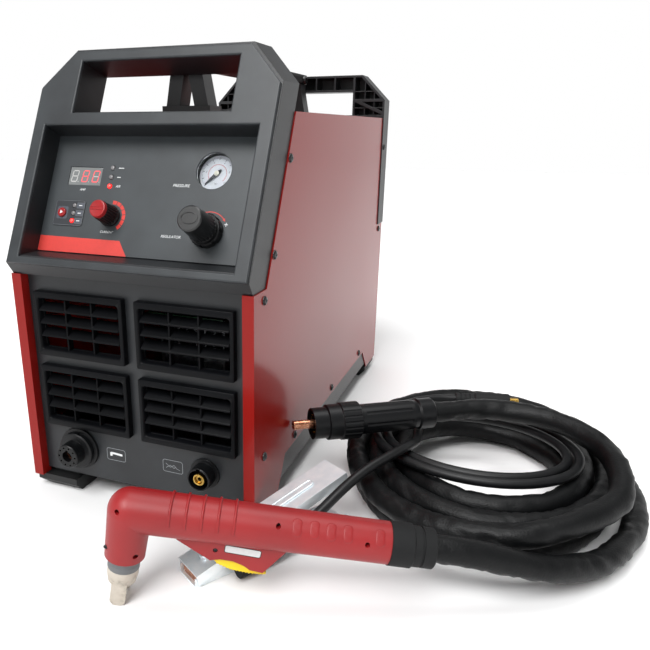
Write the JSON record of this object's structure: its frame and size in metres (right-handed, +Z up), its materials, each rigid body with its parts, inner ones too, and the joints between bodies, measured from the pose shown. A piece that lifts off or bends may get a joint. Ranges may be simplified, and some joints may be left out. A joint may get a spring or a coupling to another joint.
{
  "type": "plasma cutter unit",
  "caption": "Portable plasma cutting power source with sloped console, carrying handle, hand torch and coiled lead, and a work clamp on its own lead.",
  "frame": {"origin": "the floor point under the middle of the power source's case", "axes": "+X to the right as seen from the front, +Y towards the back, +Z up; the console and sockets face -Y"},
  "size_m": [0.629, 0.6868, 0.4585],
  "materials": {
    "red_paint": "gloss",
    "black_steel": "satin",
    "zinc_steel": "satin",
    "black_plastic": "textured",
    "grey_plastic": "satin",
    "panel_plastic": "satin",
    "red_plastic": "gloss",
    "yellow_plastic": "satin",
    "rubber": "matte",
    "copper": "satin",
    "brass": "satin",
    "ceramic": "matte",
    "nozzle_metal": "satin",
    "aluminium": "satin",
    "board": "satin",
    "ferrite": "matte",
    "lens": "clear",
    "lamp": "clear",
    "display": "clear",
    "sleeve": "woven"
  },
  "bodies": {
    "plasma_cutter": {"left_side_panel": "red_paint", "right_side_panel": "red_paint", "top_cover": "red_paint", "base_pan": "black_steel", "lower_front_panel": "black_plastic", "vent_grilles": "black_plastic", "feet": "rubber", "front_shroud": "black_plastic", "front_bezel": "black_plastic", "control_panel": "panel_plastic", "mode_keypad": "grey_plastic", "control_board": "board", "display_module": "display", "indicator_lamps": "lamp", "gauge_case": "black_plastic", "gauge_lens": "lens", "regulator_body": "aluminium", "torch_socket": "black_plastic", "socket_contacts": "brass", "work_socket": "black_plastic", "rear_shroud": "black_plastic", "rear_panel": "red_paint", "fan_frame": "black_plastic", "fan_guard": "zinc_steel", "switch_body": "black_plastic", "mains_gland": "black_plastic", "air_inlet": "brass", "heat_sink": "aluminium", "inverter_board": "board", "transformer": "ferrite", "solenoid_valve": "brass", "handle_posts": "black_plastic", "handle_strap": "red_paint", "handle_grip": "rubber", "case_screws": "zinc_steel", "torch_handle_left": "red_plastic", "torch_handle_right": "red_plastic", "torch_ring": "grey_plastic", "shield_cup": "ceramic", "torch_nozzle": "nozzle_metal", "torch_cuff": "rubber", "torch_connector_body": "black_plastic", "torch_connector_contacts": "copper", "clamp_lower_arm": "zinc_steel", "clamp_spring": "zinc_steel", "work_plug": "black_plastic", "torch_lead": "sleeve", "torch_lead_coil": "sleeve", "work_lead": "rubber", "work_lead_loops": "rubber"},
    "current_knob": {"current_knob": "black_plastic"},
    "mode_button": {"mode_button": "red_plastic"},
    "gauge_pointer": {"gauge_pointer": "red_paint"},
    "regulator_spindle": {"regulator_spindle": "brass"},
    "regulator_knob": {"regulator_knob": "black_plastic"},
    "fan_rotor": {"fan_rotor": "black_plastic"},
    "switch_rocker": {"switch_rocker": "red_plastic"},
    "torch_trigger": {"torch_trigger": "yellow_plastic"},
    "torch_connector_nut": {"torch_connector_nut": "black_plastic"},
    "clamp_upper_arm": {"clamp_upper_arm": "zinc_steel"}
  },
  "joints": [
    {"name": "current_knob_turn", "type": "hinge", "parent": "plasma_cutter", "child": "current_knob", "pos_m": [-0.036, -0.2283, 0.2998], "axis": [0, 0.9007, -0.4344], "range_deg": [-135, 135]},
    {"name": "mode_button_press", "type": "slide", "parent": "plasma_cutter", "child": "mode_button", "axis": [0, 0.9007, -0.4344], "range_m": [0, 0.001], "stiffness_N_per_m": 1500, "springref_m": -0.001},
    {"name": "gauge_pointer_turn", "type": "hinge", "parent": "plasma_cutter", "child": "gauge_pointer", "pos_m": [0.067, -0.2065, 0.3448], "axis": [0, 0.9007, -0.4344], "range_deg": [0, 270], "stiffness_Nm_per_rad": 0.0005, "springref_deg": -17.19},
    {"name": "regulator_turn", "type": "hinge", "parent": "plasma_cutter", "child": "regulator_spindle", "pos_m": [0.0715, -0.2324, 0.2912], "axis": [0, -0.9007, 0.4344], "range_deg": [-720, 720]},
    {"name": "regulator_knob_pull", "type": "slide", "parent": "regulator_spindle", "child": "regulator_knob", "axis": [0, -0.9007, 0.4344], "range_m": [0, 0.003]},
    {"name": "fan_spin", "type": "hinge", "parent": "plasma_cutter", "child": "fan_rotor", "pos_m": [-0.052, 0.248, 0.138], "axis": [0, 1, 0], "continuous": true},
    {"name": "switch_rock", "type": "hinge", "parent": "plasma_cutter", "child": "switch_rocker", "pos_m": [0.078, 0.263, 0.19], "axis": [1, 0, 0], "range_deg": [0, 16]},
    {"name": "trigger_squeeze", "type": "hinge", "parent": "plasma_cutter", "child": "torch_trigger", "pos_m": [0.1709, -0.3474, 0.0365], "axis": [-0.342, 0.9397, 0], "range_deg": [0, 6], "stiffness_Nm_per_rad": 0.6, "springref_deg": -2.86},
    {"name": "connector_nut_turn", "type": "hinge", "parent": "plasma_cutter", "child": "torch_connector_nut", "pos_m": [0.2697, -0.0776, 0.0775], "axis": [0.829, 0.5592, 0], "continuous": true},
    {"name": "clamp_squeeze", "type": "hinge", "parent": "plasma_cutter", "child": "clamp_upper_arm", "pos_m": [0.13892, -0.28929, 0.023], "axis": [-0.8387, 0.5446, 0], "range_deg": [0, 15], "stiffness_Nm_per_rad": 6, "springref_deg": -11.46}
  ]
}
